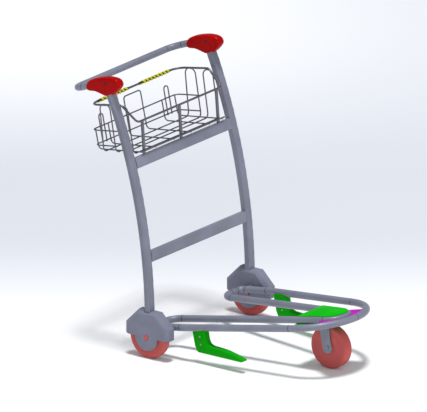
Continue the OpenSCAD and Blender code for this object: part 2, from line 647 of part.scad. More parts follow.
foot_x = 157;
foot_y = outer_y(foot_x + 27) - 4;
foot_outline = [[foot_x - 2, base_z + 20], [foot_x + 11, foot_z + 24], [foot_x + 18, foot_z + 7],
                [foot_x + 26, foot_z], [foot_x + foot_len - 8, foot_z], [foot_x + foot_len, foot_z + 3],
                [foot_x + foot_len, foot_z + 8], [foot_x + foot_len - 10, foot_z + 10],
                [foot_x + foot_len - 21, foot_z + 14], [foot_x + 151, foot_z + 26], [foot_x + 124, foot_z + 28],
                [foot_x + 83, foot_z + 30], [foot_x + 69, foot_z + 35], [foot_x + 61, foot_z + 49],
                [foot_x + 53, base_z + 28]];
foot_holes = [[foot_x + 33, foot_z + 60], [foot_x + 38, foot_z + 31]];
tab_outline = [[foot_x + 22, foot_z + 20], [foot_x + 50, foot_z + 20], [foot_x + 48, base_z + 26],
               [foot_x + 14, base_z + 22]];
tab_t = 4;

module foot() difference() {
    in_xz(foot_y - foot_w / 2, foot_w) polygon(foot_outline);
    outer_tube(0);
    in_xz(foot_y - tab_t / 2 - slip, tab_t + 2 * slip) {
        polygon([[foot_x + 20, foot_z + 18], [foot_x + 52, foot_z + 18], [foot_x + 49, base_z + 40],
                 [foot_x + 10, base_z + 40]]);
    }
    for (h = foot_holes) translate([h.x, foot_y, h.y]) rotate([90, 0, 0])
        cylinder(r = 2.5, h = foot_w + 2, center = true);
}
module foot_left() color(green) placed() foot();
module foot_right() color(green) placed() mirror([0, 1, 0]) foot();
module foot_tabs() color(dark) placed() both_sides() difference() {
    in_xz(foot_y - tab_t / 2, tab_t) polygon(tab_outline);
    outer_tube(0);
    for (h = foot_holes) translate([h.x, foot_y, h.y]) rotate([90, 0, 0]) cylinder(r = 2.5, h = 30, center = true);
}
module foot_bolts() color(metal) placed() both_sides() for (h = foot_holes)
    translate([h.x, foot_y, h.y]) rotate([90, 0, 0]) {
        cylinder(r = 2.5, h = foot_w, center = true);
        for (end = [-1, 1]) translate([0, 0, end * (foot_w / 2 + 0.6)]) cylinder(r = 3.6, h = 1.2, center = true);
    }

// ---------------------------------------------------------------- handle

handle_path = [[arm_start.x, half_track, arm_start.z], [bar.x, half_track, bar.z],
               [bar.x, -half_track, bar.z], [arm_start.x, -half_track, arm_start.z]];
module handle_tube() color(metal) placed()
    bent_rod(handle_path, handle_bend_r, handle_d, handle_d - 2 * handle_wall, $fn = 96);

// Side face of a knuckle, from the pivot, in X and Z, anticlockwise
knuckle_face = [[-80, -37], [-50, -35], [-24, -39], [-2, -43], [14, -40], [32, -28], [47, -12], [54, 2],
                [44, 14], [20, 16], [-4, 13], [-38, 4], [-66, -8], [-80, -20]];
knuckle_curve = smooth_loop(knuckle_face, 5);
// Rim steps: how far the outline grows, and how far it reaches from the mid-plane
knuckle_steps = [[0, 0.5], [3, 0.44], [5.5, 0.37], [7, 0.28], [7.6, 0.18]];

module knuckle_half(y0, y1) difference() {
    translate([pivot.x, half_track, pivot.z]) intersection() {
        union() for (s = knuckle_steps) in_xz(-knuckle_w * s[1], 2 * knuckle_w * s[1])
            polygon(grown(knuckle_curve, s[0]));
        translate([-200, y0, -200]) cube([400, y1 - y0, 400]);
    }
    // seat of the handle arm
    rod([bar.x - 20 * cos(handle_slope), half_track, bar.z - 20 * sin(handle_slope)],
        [arm_start.x + 1, half_track, arm_start.z + tan(handle_slope)], handle_d);
    // pocket of the return spring
    rod([pivot.x - 12, half_track, spring_z], [pivot.x - 40, half_track, spring_z], 2 * spring_r + 4);
    // room for the upright through the whole travel of the handle
    translate([pivot.x, half_track, pivot.z]) hull() for (a = [0, press_angle]) rotate([0, a - pivot_a, 0])
        translate([-upright_t + pivot_depth - 1, -upright_w / 2 - 0.4, -90])
            cube([upright_t + 2, upright_w + 0.8, 90 + top_over + 2]);
    translate([pivot.x, half_track, pivot.z]) rotate([90, 0, 0])
        cylinder(r = pivot_r + running_fit, h = 60, center = true);
}
module knuckle() {
    knuckle_half(slip / 2, knuckle_w / 2 + 1);
    knuckle_half(-knuckle_w / 2 - 1, -slip / 2);
}
module knuckle_left() color(red) placed() knuckle();
module knuckle_right() color(red) placed() mirror([0, 1, 0]) knuckle();

// Compression spring between the back of each upright and the end of the handle arm
spring_r = 5;
spring_wire = 1.6;
spring_turns = 5;
spring_z = pivot.z - 10;
module helix(r, wire, pitch, turns, sides = 6, per_turn = 12) {
    n = turns * per_turn;
    points = [for (i = [0 : n], s = [0 : sides - 1])
        let (a = i * 360 / per_turn, b = s * 360 / sides, q = r + wire / 2 * cos(b))
        [q * cos(a), q * sin(a), i * pitch / per_turn + wire / 2 * sin(b)]];
    faces = concat([[for (s = [0 : sides - 1]) s]],
        [for (i = [0 : n - 1], s = [0 : sides - 1])
            [i * sides + s, (i + 1) * sides + s, (i + 1) * sides + (s + 1) % sides, i * sides + (s + 1) % sides]],
        [[for (s = [sides - 1 : -1 : 0]) n * sides + s]]);
    polyhedron(points, faces);
}
module handle_springs() color(metal) placed() both_sides()
    translate([pivot.x - 17, half_track, spring_z]) rotate([0, -90, 0])
        helix(spring_r, spring_wire, 3.8, spring_turns);

// ---------------------------------------------------------------- basket

rim_side_x = bar_front.x - 86;
rim_side_z = basket_rear_z + 26;
mid_z = basket_rear_z - 98;
low_z = basket_rear_z - 154;
mid_x = basket_back_x + 3;
low_x = basket_back_x + 15;
hoop_b_x = bar_front.x - 112;

rim_path = [[basket_back_x, basket_half, basket_rear_z], [rim_side_x, basket_half, rim_side_z],
            [rail_x, basket_half - 12, rail_z], [rail_x, -basket_half + 12, rail_z],
            [rim_side_x, -basket_half, rim_side_z], [basket_back_x, -basket_half, basket_rear_z]];
module basket_rim() color(metal) placed() bent_rod(rim_path, [40, 22, 16, 16, 22, 40], rim_d, closed = true);

function ring_path(x, z, half) = [[hoop_b_x, half, z + (hoop_b_x - x) * basket_slope], [x, half, z],
                                  [x, -half, z], [hoop_b_x, -half, z + (hoop_b_x - x) * basket_slope]];
mid_half = basket_half - 9;
low_half = basket_half - 12;
module basket_mid_ring() color(metal) placed() bent_rod(ring_path(mid_x, mid_z, mid_half), 22, wire_d);
module basket_lower_ring() color(metal) placed() bent_rod(ring_path(low_x, low_z, low_half), 22, wire_d);

// A hoop is one closed wire: an arch on each side, joined by two wires under the floor
function hoop_path(xa, xb, xc, xd, z) = 
    let (y = basket_half - rim_d / 2 - wire_d / 2 + weld, f = low_half + wire_d - weld)
    [[xa, y, z], [xb, y, z], [xd, f, floor_z(xd)], [xd, -f, floor_z(xd)],
     [xb, -y, z], [xa, -y, z], [xc, -f, floor_z(xc)], [xc, f, floor_z(xc)]];
hoop_radii = [21, 21, 18, 18, 21, 21, 18, 18];
module basket_hoops() color(metal) placed() {
    bent_rod(hoop_path(bar_front.x - 189, bar_front.x - 144, bar_front.x - 170, bar_front.x - 114,
                       basket_rear_z + 12), hoop_radii, wire_d, closed = true);
    bent_rod(hoop_path(bar_front.x - 110, bar_front.x - 65, bar_front.x - 82, bar_front.x - 35,
                       basket_rear_z + 22), hoop_radii, wire_d, closed = true);
}

// Wires that come down the rear wall and run forward over the floor
function wall_x(z) = low_x + wire_d - weld - (z - low_z) * (low_x - mid_x) / (mid_z - low_z);
lay_z = wire_d - weld;
function floor_end(y) = [floor_front_x, y, floor_z(floor_front_x) + lay_z];
function floor_corner(y) = [wall_x(floor_z0), y, floor_z(wall_x(floor_z0)) + lay_z];
arch_z = basket_rear_z - 29;
arch_half = 50;
module basket_centre_arch() color(metal) placed()
    bent_rod([floor_end(arch_half), floor_corner(arch_half), [wall_x(arch_z), arch_half, arch_z],
              [wall_x(arch_z), -arch_half, arch_z], floor_corner(-arch_half), floor_end(-arch_half)],
             [0, 16, 12, 12, 16, 0], wire_d);
module basket_rear_wires() color(metal) placed() both_sides() {
    for (y = [basket_half - 101, basket_half - 25])
        bent_rod([floor_end(y), floor_corner(y), [wall_x(mid_z + 2), y, mid_z + 2]], 16, wire_d);
    for (y = [basket_half - 67]) bent_rod([[wall_x(floor_z0 + 22), y + 12, floor_z0 + 18],
        [wall_x(basket_rear_z - 53), y + 12, basket_rear_z - 53],
        [wall_x(basket_rear_z - 53), y - 12, basket_rear_z - 53],
        [wall_x(floor_z0 + 22), y - 12, floor_z0 + 18]], 11, wire_d);
}

post_half = basket_half - post_inset;
post_foot_x = bar_front.x - crossbar_h / 2 * sin(upper_bar_a) - post_d / 2 - 1;
rail_half = basket_half - 14;
front_wire_z = floor_z(floor_front_x) + 8;
module basket_posts() color(metal) placed() for (y = [-post_half, 0, post_half])
    rod([post_x(post_base_z - 3), y, post_base_z - 3], [rail_x, y, rail_z], post_d);
module basket_front_wire() color(metal) placed()
    rod([floor_front_x, -rail_half, front_wire_z], [floor_front_x, rail_half, front_wire_z], wire_d + 1);
function post_x(z) = rail_x + (post_foot_x - rail_x) * (rail_z - z) / (rail_z - post_base_z);

module sleeve() translate([basket_back_x, 32, basket_rear_z]) rotate([-90, 0, 0])
    linear_extrude(sleeve_len) ring_2d(sleeve_d, rim_d);
module sleeve_left() color(yellow) placed() sleeve();
module sleeve_right() color(yellow) placed() mirror([0, 1, 0]) sleeve();

// ---------------------------------------------------------------- nodes

upright_left();
upright_right();
upright_plugs();
brake_cables();
pivot_pins();
wheel_fork_left();
wheel_fork_right();
housing_outer_left();
housing_outer_right();
housing_inner_left();
housing_inner_right();
rear_axles();
rear_axle_nuts();
brake_pins();
base_lugs();
crossbar_upper();
crossbar_lower();
base_outer_tube();
base_inner_tube();
base_hairpin_left();
base_hairpin_right();
deck_plate();
nose_plate();
under_plate();
caster_top_plate();
swivel_upper_race();
foot_left();
foot_right();
foot_tabs();
foot_bolts();
basket_rim();
basket_mid_ring();
basket_lower_ring();
basket_hoops();
basket_centre_arch();
basket_rear_wires();
basket_posts();
basket_front_wire();
sleeve_left();
sleeve_right();
handle_springs();
handle_tube();
knuckle_left();
knuckle_right();
rear_tyre_left();
rear_core_left();
rear_bearings_left();
rear_tyre_right();
rear_core_right();
rear_bearings_right();
brake_shoe_left();
brake_shoe_right();
caster_fork();
swivel_lower_race();
kingpin();
caster_nuts();
front_axle();
front_tyre();
front_core();
front_bearings();
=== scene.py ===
"""Looks of the airport luggage trolley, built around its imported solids.

Each sub-assembly is a class that models its pieces in edit mode and dresses them.
Lengths are in metres, +X is forward, +Y is the trolley's left and +Z is up.
"""
import logging
import math
from dataclasses import dataclass, field
from enum import Enum

import bmesh
import bpy
from mathutils import Matrix, Vector


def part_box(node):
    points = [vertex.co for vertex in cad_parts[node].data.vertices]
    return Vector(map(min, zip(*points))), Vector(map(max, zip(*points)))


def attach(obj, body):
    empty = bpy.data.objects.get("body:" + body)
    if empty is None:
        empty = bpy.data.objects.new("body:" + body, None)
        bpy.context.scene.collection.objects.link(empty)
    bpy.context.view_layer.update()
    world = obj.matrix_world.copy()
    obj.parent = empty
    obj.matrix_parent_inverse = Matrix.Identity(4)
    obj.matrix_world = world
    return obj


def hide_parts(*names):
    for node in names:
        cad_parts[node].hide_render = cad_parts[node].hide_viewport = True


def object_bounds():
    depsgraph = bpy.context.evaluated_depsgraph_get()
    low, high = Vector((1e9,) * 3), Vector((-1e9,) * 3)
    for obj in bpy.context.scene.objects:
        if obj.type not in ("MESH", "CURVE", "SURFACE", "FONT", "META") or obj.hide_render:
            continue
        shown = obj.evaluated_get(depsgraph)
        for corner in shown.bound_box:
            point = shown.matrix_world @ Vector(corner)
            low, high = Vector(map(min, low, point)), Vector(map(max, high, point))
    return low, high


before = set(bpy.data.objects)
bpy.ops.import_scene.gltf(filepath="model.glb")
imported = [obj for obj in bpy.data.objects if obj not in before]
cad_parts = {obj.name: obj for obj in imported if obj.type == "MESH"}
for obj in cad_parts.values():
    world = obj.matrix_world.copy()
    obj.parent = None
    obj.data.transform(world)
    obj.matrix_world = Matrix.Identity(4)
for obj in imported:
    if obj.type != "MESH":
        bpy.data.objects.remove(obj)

logging.basicConfig(level=logging.INFO, format="%(levelname)s %(message)s")
LOG = logging.getLogger("trolley")
MM = 0.001
WELD = 0.01 * MM      # corners closer than this are one corner
FLAT_ANGLE = 1.0      # faces within this many degrees are one face
BEVEL_ANGLE = 32.0    # edges sharper than this many degrees are rounded
BEVEL_STEPS = 2
SOFT_ANGLE = 38.0     # rounded pieces shade smooth up to this many degrees
REAR_WHEEL_W = 34 * MM
FRONT_WHEEL_W = 41 * MM
SIDES = (("left", 1), ("right", -1))
CAD_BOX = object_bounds()


# ---------------------------------------------------------------- shader maths


class Value:
    """A number socket that can be written in sums."""

    def __init__(self, graph: "Graph", socket: bpy.types.NodeSocket) -> None:
        """Keeps the socket and the graph that it belongs to."""
        self.graph = graph
        self.socket = socket

    def _sum(self, operation: str, first: object, second: object) -> "Value":
        """Adds a Math node for two values.

        Args:
            operation: the Math node's operation.
            first: a Value or a number.
            second: a Value or a number.

        Returns:
            The result.
        """
        node = self.graph.node("ShaderNodeMath", {"operation": operation}, {0: first, 1: second})
        return Value(self.graph, node.outputs[0])

    def __add__(self, other: object) -> "Value":
        """Adds."""
        return self._sum("ADD", self, other)

    def __radd__(self, other: object) -> "Value":
        """Adds to a number."""
        return self._sum("ADD", other, self)

    def __sub__(self, other: object) -> "Value":
        """Subtracts."""
        return self._sum("SUBTRACT", self, other)

    def __rsub__(self, other: object) -> "Value":
        """Subtracts from a number."""
        return self._sum("SUBTRACT", other, self)

    def __mul__(self, other: object) -> "Value":
        """Multiplies."""
        return self._sum("MULTIPLY", self, other)

    def __rmul__(self, other: object) -> "Value":
        """Multiplies a number."""
        return self._sum("MULTIPLY", other, self)

    def fade(self, low: float, high: float) -> "Value":
        """Ramps smoothly from 0 at low to 1 at high."""
        settings = {"interpolation_type": "SMOOTHSTEP"}
        node = self.graph.node("ShaderNodeMapRange", settings,
                               {"Value": self, "From Min": low, "From Max": high})
        return Value(self.graph, node.outputs["Result"])


class Graph:
    """The node tree of one material."""

    def __init__(self, name: str) -> None:
        """Makes an empty material.

        Args:
            name: the material's name.
        """
        self.material = bpy.data.materials.new(name)
        self.material.use_nodes = True
        self.tree = self.material.node_tree
        self.tree.nodes.clear()

    def node(self, kind: str, settings: dict, inputs: dict) -> bpy.types.Node:
        """Adds one node.

        Args:
            kind: the node's type.
            settings: its properties, which are set first; "stops" holds a ramp's stops.
            inputs: socket names or numbers, with values, Values or sockets.

        Returns:
            The node.
        """
        made = self.tree.nodes.new(kind)
        for key, value in settings.items():
            if key == "stops":
                while len(made.color_ramp.elements) < len(value):
                    made.color_ramp.elements.new(1.0)
                for element, (place, colour) in zip(made.color_ramp.elements, value):
                    element.position = place
                    element.color = (*colour, 1.0)
            else:
                setattr(made, key, value)
        for key, value in inputs.items():
            socket = made.inputs[key]
            if isinstance(value, Value):
                self.tree.links.new(value.socket, socket)
            elif isinstance(value, bpy.types.NodeSocket):
                self.tree.links.new(value, socket)
            else:
                socket.default_value = value
        return made

    def place(self, scale: tuple[float, float, float] = (1, 1, 1)) -> bpy.types.NodeSocket:
        """Object coordinates, scaled.

        Args:
            scale: the factor along each axis.

        Returns:
            The vector socket.
        """
        where = self.node("ShaderNodeTexCoord", {}, {})
        mapped = self.node("ShaderNodeMapping", {}, {"Vector": where.outputs["Object"], "Scale": scale})
        return mapped.outputs["Vector"]

    def turned(self, angle: float) -> bpy.types.NodeSocket:
        """Object coordinates, turned back about Z by an angle in radians."""
        where = self.node("ShaderNodeTexCoord", {}, {})
        turn = self.node("ShaderNodeVectorRotate", {"rotation_type": "Z_AXIS"},
                         {"Vector": where.outputs["Object"], "Angle": -angle})
        return turn.outputs[0]

    def noise(self, vector: bpy.types.NodeSocket, scale: float, detail: float = 3.0,
              rough: float = 0.5) -> Value:
        """Noise from 0 to 1.

        Args:
            vector: where it is read.
            scale: repeats in a metre.
            detail: layers of finer noise.
            rough: strength of the finer layers.

        Returns:
            The noise.
        """
        made = self.node("ShaderNodeTexNoise", {}, {"Vector": vector, "Scale": scale, "Detail": detail,
                                                    "Roughness": rough})
        return Value(self, made.outputs[0])

    def blend(self, factor: Value, first: object, second: object) -> bpy.types.NodeSocket:
        """Mixes two colours.

        Args:
            factor: the share of the second.
            first: a colour or a socket.
            second: a colour or a socket.

        Returns:
            The colour socket.
        """
        pair = {6: first, 7: second}
        inputs = {0: factor}
        inputs.update({k: (*v, 1.0) if isinstance(v, tuple) else v for k, v in pair.items()})
        made = self.node("ShaderNodeMix", {"data_type": "RGBA"}, inputs)
        return made.outputs[2]

    def finish(self, surface: dict, height: Value | None, depth: float) -> bpy.types.Material:
        """Ends the material in a Principled surface.

        Args:
            surface: the surface's sockets.
            height: what the bump follows, if anything.
            depth: the bump's depth in metres.

        Returns:
            The material.
        """
        if height is not None:
            bump = self.node("ShaderNodeBump", {},
                             {"Strength": 1.0, "Distance": depth, "Height": height})
            surface = {**surface, "Normal": bump.outputs[0]}
        shader = self.node("ShaderNodeBsdfPrincipled", {}, surface)
        self.node("ShaderNodeOutputMaterial", {}, {"Surface": shader.outputs[0]})
        return self.material


class Kind(Enum):
    """The families of finish on the trolley."""

    PAINT = "paint"
    PLATED = "plated"
    STEEL = "steel"
    MOULDED = "moulded"
    TYRE = "tyre"


@dataclass(frozen=True)
class Finish:
    """One finish: its colours and how it catches the light.

    Args:
        name: the material's name.
        slot: the record's material slot; not used.
        kind: the family of finish.
        colour: the clean colour.
        worn: the colour of scuffs and dust.
        rough: how matt it is.
        metal: how metallic it is.
        coat: strength of a clear top coat.
        texel: size of its fine texture.
        depth: depth of its fine texture.
        wear: share of scuffed surface.
        shine: strength of its plain reflection.
    """

    name: str
    slot: str
    kind: Kind
    colour: tuple[float, float, float]
    worn: tuple[float, float, float]
    rough: float
    metal: float = 0.0
    coat: float = 0.0
    texel: float = 1.5 * MM
    depth: float = 0.03 * MM
    wear: float = 0.3
    shine: float = 0.3

    def make(self) -> bpy.types.Material:
        """Builds the material, or gives the one that is there."""
        found = bpy.data.materials.get(self.name)
        return found if found else self._build(Graph(self.name))

    def _build(self, graph: Graph) -> bpy.types.Material:
        """Builds the node tree for this family.

        Args:
            graph: the empty tree.

        Returns:
            The material.
        """
        here = graph.place()
        cloud = graph.noise(here, 9.0, 4.0)
        fine = graph.noise(here, 1.0 / self.texel, 2.0)
        darker = tuple(c * 0.82 for c in self.colour)
        base = graph.blend(cloud.fade(0.3, 0.7), self.colour, darker)
        scuff = graph.noise(here, 60.0, 6.0, 0.7).fade(0.62, 0.78)
        height: Value = fine
        if self.kind is Kind.PAINT:
            streaks = graph.noise(graph.place((6.0, 150.0, 150.0)), 3.0, 3.0, 0.6).fade(0.64, 0.72)
            scuff = scuff * 0.6 + streaks * 0.5
            flake = graph.noise(here, 1800.0, 0.0).fade(0.45, 0.8)
            base = graph.blend(flake * 0.14, base, tuple(min(1.0, c * 1.8) for c in self.colour))
        elif self.kind is Kind.PLATED:
            scuff = scuff * 0.5 + cloud.fade(0.55, 0.7) * 0.35
        elif self.kind is Kind.STEEL:
            brush = graph.noise(graph.place((1.0, 1.0, 40.0)), 160.0, 3.0, 0.6)
            height = brush
            scuff = scuff * 0.4 + brush.fade(0.5, 0.8) * 0.4
        elif self.kind is Kind.TYRE:
            grit = graph.noise(here, 700.0, 2.0, 0.6).fade(0.58, 0.72)
            scuff = scuff * 0.7 + grit * 0.45
            height = fine + grit * 0.6
        colour = graph.blend(scuff * self.wear, base, self.worn)
        rough = self.rough + scuff * 0.18 + (cloud - 0.5) * 0.1
        surface = {"Base Color": colour, "Roughness": rough, "Metallic": self.metal,
                   "Specular IOR Level": self.shine, "Coat Weight": self.coat, "Coat Roughness": 0.12}
        return graph.finish(surface, height, self.depth)


SLATE = Finish("slate_paint", "frame_metal", Kind.PAINT, (0.215, 0.225, 0.29), (0.3, 0.31, 0.37), 0.4,
               metal=0.1, coat=0.12, texel=1.2 * MM, depth=0.02 * MM, wear=0.35)
PLATE = Finish("plated_wire", "wire_metal", Kind.PLATED, (0.15, 0.15, 0.17), (0.07, 0.07, 0.08), 0.3,
               metal=0.6, texel=0.8 * MM, depth=0.01 * MM, wear=0.5)
STEEL = Finish("turned_steel", "fitting_steel", Kind.STEEL, (0.30, 0.30, 0.33), (0.42, 0.42, 0.44), 0.3,
               metal=0.9, depth=0.01 * MM, shine=0.5)
SHELL = Finish("housing_shell", "housing_plastic", Kind.MOULDED,
               (0.205, 0.215, 0.285), (0.28, 0.29, 0.34), 0.5,
               texel=0.9 * MM, depth=0.05 * MM)
CORE = Finish("wheel_core", "wheel_plastic", Kind.MOULDED, (0.58, 0.108, 0.102), (0.62, 0.2, 0.18), 0.5,
              texel=1.1 * MM, depth=0.04 * MM, shine=0.15)
TYRE = Finish("tyre_polyurethane", "tyre_rubber", Kind.TYRE,
              (0.58, 0.108, 0.102), (0.5, 0.18, 0.17), 0.6,
              texel=1.5 * MM, depth=0.06 * MM, wear=0.4, shine=0.15)
RED = Finish("knuckle_red", "red_plastic", Kind.MOULDED, (0.42, 0.001, 0.001), (0.44, 0.01, 0.01), 0.35,
             coat=0.04, texel=1.0 * MM, depth=0.02 * MM, wear=0.2, shine=0.05)
GREEN = Finish("deck_green", "green_paint", Kind.PAINT, (0.0, 0.5, 0.0), (0.02, 0.51, 0.02), 0.5,
               texel=1.4 * MM, depth=0.02 * MM, wear=0.35, shine=0.03)
PAD = Finish("foot_green", "green_rubber", Kind.MOULDED, (0.0, 0.38, 0.0), (0.03, 0.4, 0.03), 0.6,
             texel=1.6 * MM, depth=0.08 * MM, shine=0.08)
MAGENTA = Finish("nose_magenta", "magenta_paint", Kind.PAINT,
                 (0.52, 0.0, 0.5), (0.55, 0.06, 0.53), 0.45,
                 shine=0.1)
YELLOW = Finish("sleeve_yellow", "yellow_plastic", Kind.MOULDED,
                (0.58, 0.56, 0.0), (0.6, 0.58, 0.1), 0.35,
                coat=0.1, shine=0.2)
BLACK = Finish("black_rubber", "dark_rubber", Kind.MOULDED,
               (0.01, 0.01, 0.012), (0.03, 0.03, 0.03), 0.6,
               texel=1.2 * MM, depth=0.05 * MM)


# ---------------------------------------------------------------- modelling helpers


class Bench:
    """Edit-mode tools that the sub-assemblies share."""

    @staticmethod
    def clear() -> None:
        """Leaves edit mode and deselects everything."""
        if bpy.context.object and bpy.context.object.mode != "OBJECT":
            bpy.ops.object.mode_set(mode="OBJECT")
        bpy.ops.object.select_all(action="DESELECT")

    @staticmethod
    def pick(piece: bpy.types.Object) -> None:
        """Makes one object the only selected and active one."""
        Bench.clear()
        piece.hide_viewport = False
        piece.select_set(True)
        bpy.context.view_layer.objects.active = piece

    @staticmethod
    def ring(name: str, points: list[Vector]) -> bpy.types.Object:
        """Adds a circle and moves its corners onto a closed outline.

        Args:
            name: the piece's name.
            points: the outline's corners.

        Returns:
            The new object.
        """
        Bench.clear()
        bpy.ops.mesh.primitive_circle_add(vertices=len(points), radius=1.0, fill_type="NOTHING")
        piece = bpy.context.object
        piece.name = name
        for vertex, point in zip(piece.data.vertices, points):
            vertex.co = point
        return piece

    @staticmethod
    def loft(name: str, outlines: list[list[Vector]]) -> bpy.types.Object:
        """Extrudes an outline through stations and closes both ends.

        Args:
            name: the piece's name.
            outlines: outlines with equal numbers of corners, from one end to the other.

        Returns:
            The closed solid.
        """
        piece = Bench.ring(name, outlines[0])
        Bench.pick(piece)
        bpy.ops.object.mode_set(mode="EDIT")
        bpy.ops.mesh.select_all(action="SELECT")
        bpy.ops.mesh.edge_face_add()
        for before, after in zip(outlines, outlines[1:]):
            bpy.ops.mesh.extrude_region_move()
            shell = bmesh.from_edit_mesh(piece.data)
            for vertex in [v for v in shell.verts if v.select]:
                nearest = min(range(len(before)), key=lambda i: (before[i] - vertex.co).length_squared)
                vertex.co = after[nearest]
            bmesh.update_edit_mesh(piece.data)
        bpy.ops.mesh.select_all(action="SELECT")
        bpy.ops.mesh.normals_make_consistent(inside=False)
        bpy.ops.object.mode_set(mode="OBJECT")
        return piece

    @staticmethod
    def turned(name: str, profile: list[tuple[float, float]], centre: Vector,
               steps: int = 96) -> bpy.types.Object:
        """Spins a closed profile about a line along Y.

        Args:
            name: the piece's name.
            profile: radius and distance along Y of each corner.
            centre: a point on the line.
            steps: the number of divisions.

        Returns:
            The turned solid.
        """
        points = [centre + Vector((r, y, 0)) for r, y in profile]
        piece = Bench.ring(name, points)
        Bench.pick(piece)
        bpy.ops.object.mode_set(mode="EDIT")
        bpy.ops.mesh.select_all(action="SELECT")
        bpy.ops.mesh.spin(steps=steps, angle=2 * math.pi, center=centre, axis=(0, 1, 0))
        bpy.ops.mesh.select_all(action="SELECT")
        bpy.ops.mesh.remove_doubles(threshold=WELD)
        bpy.ops.mesh.normals_make_consistent(inside=False)
        bpy.ops.object.mode_set(mode="OBJECT")
        return piece

    @staticmethod
    def rounded(piece: bpy.types.Object, width: float) -> None:
        """Rounds the piece's sharp edges and shades it.

        Args:
            piece: the mesh.
            width: the width of the rounding.
        """
        Bench.pick(piece)
        bevel = piece.modifiers.new("edge", "BEVEL")
        bevel.width = width
        bevel.segments = BEVEL_STEPS
        bevel.limit_method = "ANGLE"
        bevel.angle_limit = math.radians(BEVEL_ANGLE)
        bevel.harden_normals = False
        bpy.ops.object.modifier_apply(modifier=bevel.name)
        Bench.smooth(piece, SOFT_ANGLE)

    @staticmethod
    def smooth(piece: bpy.types.Object, angle: float) -> None:
        """Shades smooth, and keeps edges over the angle sharp."""
        Bench.pick(piece)
        bpy.ops.object.shade_smooth_by_angle(angle=math.radians(angle))

    @staticmethod
    def cut(piece: bpy.types.Object, tool: bpy.types.Object) -> None:
        """Cuts one solid out of another, and removes the tool."""
        Bench.pick(piece)
        boolean = piece.modifiers.new("cut", "BOOLEAN")
        boolean.operation = "DIFFERENCE"
        boolean.solver = "EXACT"
        boolean.object = tool
        bpy.ops.object.modifier_apply(modifier=boolean.name)
        bpy.data.objects.remove(tool)

    @staticmethod
    def softened(node: str, name: str, width: float) -> bpy.types.Object:
        """Copies a solid and rounds its edges, as a moulding or a deburred plate has them.

        Args:
            node: the solid's name.
            name: the new piece's name.
            width: the width of the rounding.

        Returns:
            The new piece, which replaces the solid.
        """
        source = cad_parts[node]
        piece = bpy.data.objects.new(name, source.data.copy())
        bpy.context.scene.collection.objects.link(piece)
        piece.data.materials.clear()
        Bench.pick(piece)
        bpy.ops.object.mode_set(mode="EDIT")
        bpy.ops.mesh.select_all(action="SELECT")
        bpy.ops.mesh.remove_doubles(threshold=WELD)
        bpy.ops.mesh.dissolve_limited(angle_limit=math.radians(FLAT_ANGLE))
        bpy.ops.object.mode_set(mode="OBJECT")
        Bench.rounded(piece, width)
        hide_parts(node)
        return piece

    @staticmethod
    def dress(piece: bpy.types.Object, finish: Finish, body: str) -> bpy.types.Object:
        """Gives a piece its finish and the body that it rides on.

        Args:
            piece: the piece.
            finish: its finish.
            body: the name of the moving body.

        Returns:
            The piece.
        """
        piece.data.materials.clear()
        piece.data.materials.append(finish.make())
        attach(piece, body)
        LOG.info("%s: %d faces on %s", piece.name, len(piece.data.polygons), body)
        return piece


def centre_of(node: str) -> Vector:
    """The middle of a solid's box."""
    low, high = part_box(node)
    return (low + high) / 2


# ---------------------------------------------------------------- sub-assemblies


@dataclass
class CarriedSolids:
    """Solids whose shape is right as it is, and only need their finish."""

    finishes: dict[str, Finish] = field(default_factory=lambda: {
        "upright_left": SLATE, "upright_right": SLATE, "upright_plugs": BLACK, "brake_cables": BLACK,
        "pivot_pins": STEEL, "wheel_fork_left": STEEL, "wheel_fork_right": STEEL, "rear_axles": CORE,
        "rear_axle_nuts": STEEL, "brake_pins": STEEL, "base_lugs": SLATE, "base_outer_tube": SLATE,
        "base_inner_tube": SLATE, "base_hairpin_left": SLATE, "base_hairpin_right": SLATE,
        "caster_top_plate": SLATE, "swivel_upper_race": STEEL, "foot_tabs": STEEL, "foot_bolts": STEEL,
        "basket_rim": PLATE, "basket_mid_ring": PLATE, "basket_lower_ring": PLATE,
        "basket_hoops": PLATE,
        "basket_centre_arch": PLATE, "basket_rear_wires": PLATE, "basket_posts": PLATE,
        "basket_front_wire": PLATE,
        "handle_springs": STEEL, "handle_tube": SLATE, "rear_bearings_left": STEEL,
        "rear_bearings_right": STEEL, "brake_shoe_left": BLACK, "brake_shoe_right": BLACK,
        "swivel_lower_race": STEEL, "kingpin": STEEL, "caster_nuts": STEEL, "front_axle": SLATE,
        "front_bearings": STEEL})

    def build(self) -> None:
        """Puts the finish into each solid's material slots."""
        for name, finish in self.finishes.items():
            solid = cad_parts[name]
            if not solid.material_slots:
                solid.data.materials.append(finish.make())
            for place in solid.material_slots:
                place.material = finish.make()
        LOG.info("%d solids carried over", len(self.finishes))


@dataclass
class SoftenedParts:
    """Plates, mouldings and extrusions whose edges are rounded."""

    parts: dict[str, tuple[Finish, float, str]] = field(default_factory=lambda: {
        "housing_outer_left": (SHELL, 0.9 * MM, "frame"),
        "housing_outer_right": (SHELL, 0.9 * MM, "frame"),
        "housing_inner_left": (SHELL, 0.9 * MM, "frame"),
        "housing_inner_right": (SHELL, 0.9 * MM, "frame"),
        "crossbar_upper": (SLATE, 0.5 * MM, "frame"), "crossbar_lower": (SLATE, 0.5 * MM, "frame"),
        "deck_plate": (GREEN, 0.7 * MM, "frame"), "under_plate": (GREEN, 0.7 * MM, "frame"),
        "nose_plate": (MAGENTA, 0.5 * MM, "frame"), "caster_fork": (SLATE, 0.8 * MM, "caster"),
        "foot_left": (PAD, 2.0 * MM, "frame"), "foot_right": (PAD, 2.0 * MM, "frame")})

    def build(self) -> None:
        """Rounds and dresses each part."""
        for node, (finish, width, body) in self.parts.items():
            Bench.dress(Bench.softened(node, node + "_soft", width), finish, body)


